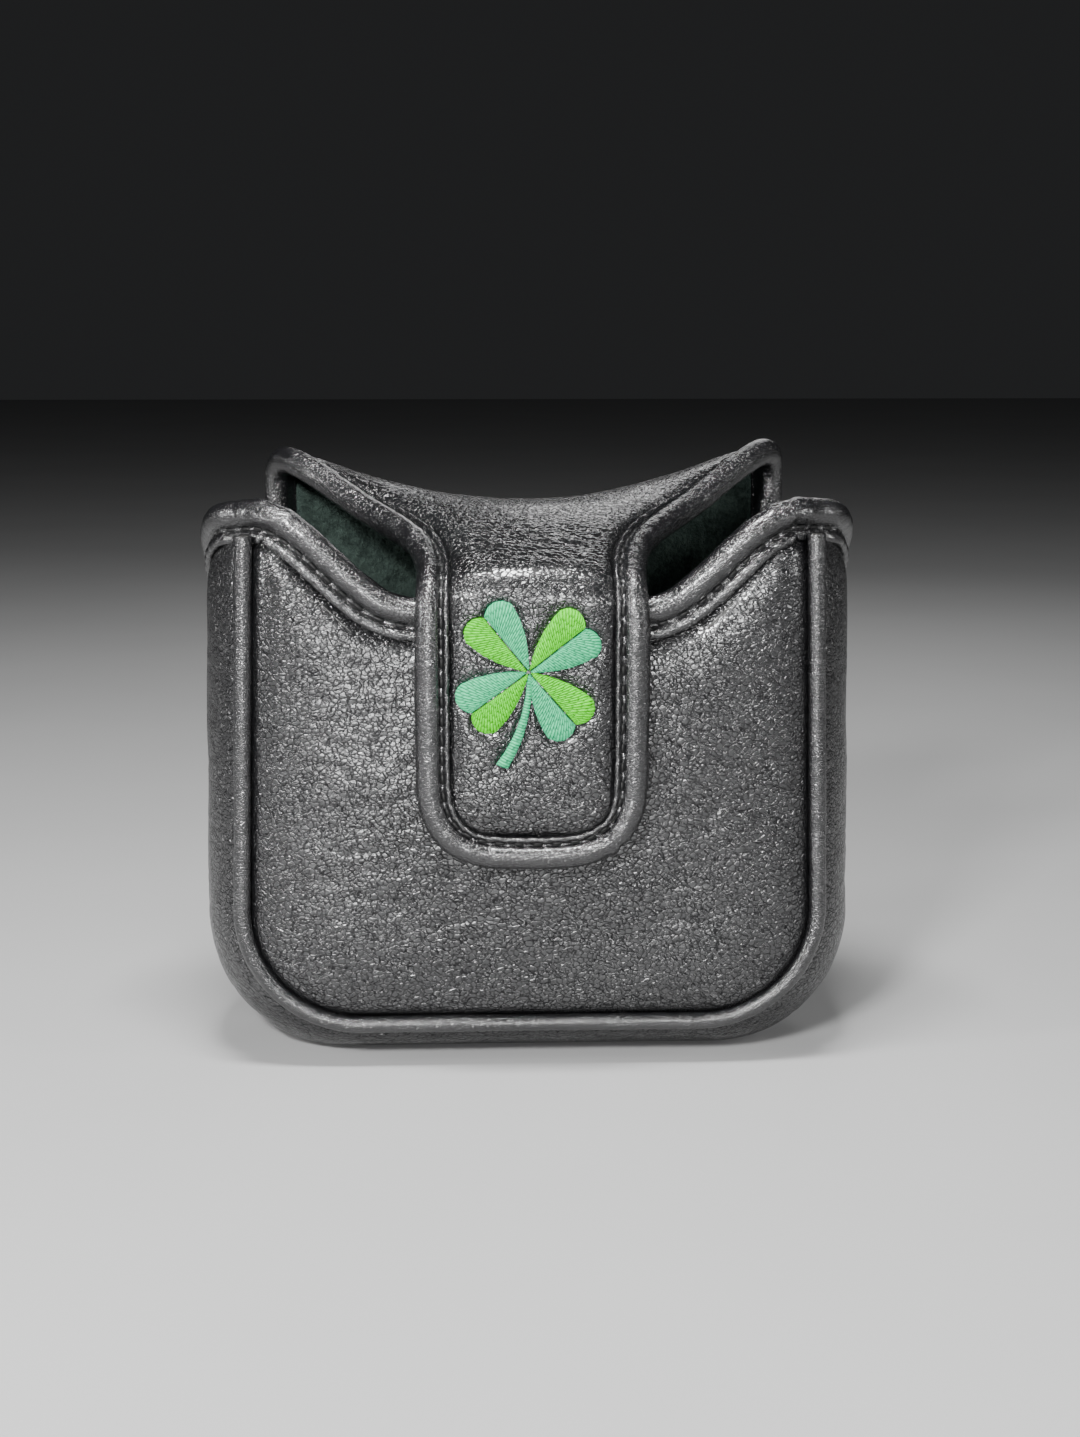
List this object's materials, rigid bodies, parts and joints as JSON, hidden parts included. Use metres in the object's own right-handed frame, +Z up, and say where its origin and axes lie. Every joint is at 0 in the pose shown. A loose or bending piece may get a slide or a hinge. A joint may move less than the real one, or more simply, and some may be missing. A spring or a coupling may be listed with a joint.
{
  "type": "putter head cover",
  "caption": "Padded leather pouch for a square mallet putter head, with a piped gusset, rolled edge bindings and a fold-over flap closed by magnets under its embroidered tongue.",
  "frame": {"origin": "on the surface it stands on, under the middle of the pouch", "axes": "+X to the right seen from the front, +Y to the back, +Z up out of the pouch's mouth"},
  "size_m": [0.1296, 0.0614, 0.1172],
  "materials": {
    "leather": "black pebbled synthetic leather, semi-gloss",
    "binding_leather": "black synthetic leather folded over the edge and rolled, stitched, semi-gloss",
    "piping_leather": "black synthetic leather drawn over a round cord",
    "plush": "dark green-black short plush",
    "foam": "grey open-cell padding foam",
    "filler_cord": "twisted cotton filler cord",
    "magnet": "nickel-plated disc magnet",
    "lime_thread": "satin embroidery thread, bright yellow-green",
    "mint_thread": "satin embroidery thread, aqua green"
  },
  "bodies": {
    "pouch": {"back_binding_cord_left": "filler_cord", "back_binding_cord_right": "filler_cord", "back_binding_left": "binding_leather", "back_binding_right": "binding_leather", "back_foam": "foam", "back_lining": "plush", "back_panel": "leather", "back_piping": "piping_leather", "back_piping_cord": "filler_cord", "front_foam": "foam", "front_lining": "plush", "front_magnets": "magnet", "front_panel": "leather", "front_piping": "piping_leather", "front_piping_cord": "filler_cord", "gusset": "leather", "gusset_foam": "foam", "gusset_lining": "plush", "mouth_binding": "binding_leather", "mouth_binding_cord": "filler_cord"},
    "flap_crown": {"crown_binding_cord_left": "filler_cord", "crown_binding_cord_right": "filler_cord", "crown_binding_left": "binding_leather", "crown_binding_right": "binding_leather", "crown_foam": "foam", "crown_lining": "plush", "crown_panel": "leather"},
    "flap_tongue": {"clover_lime_thread": "lime_thread", "clover_mint_thread": "mint_thread", "clover_stem_thread": "mint_thread", "tongue_binding": "binding_leather", "tongue_binding_cord": "filler_cord", "tongue_foam": "foam", "tongue_lining": "plush", "tongue_magnets": "magnet", "tongue_panel": "leather"}
  },
  "joints": [
    {"name": "flap_fold", "type": "hinge", "parent": "pouch", "child": "flap_crown", "pos_m": [0, 0.02629, 0.10629], "axis": [-1, 0, 0], "range_deg": [0, 150]},
    {"name": "tongue_fold", "type": "hinge", "parent": "flap_crown", "child": "flap_tongue", "pos_m": [0, -0.0327, 0.09789], "axis": [-1, 0, 0], "range_deg": [0, 80]}
  ]
}
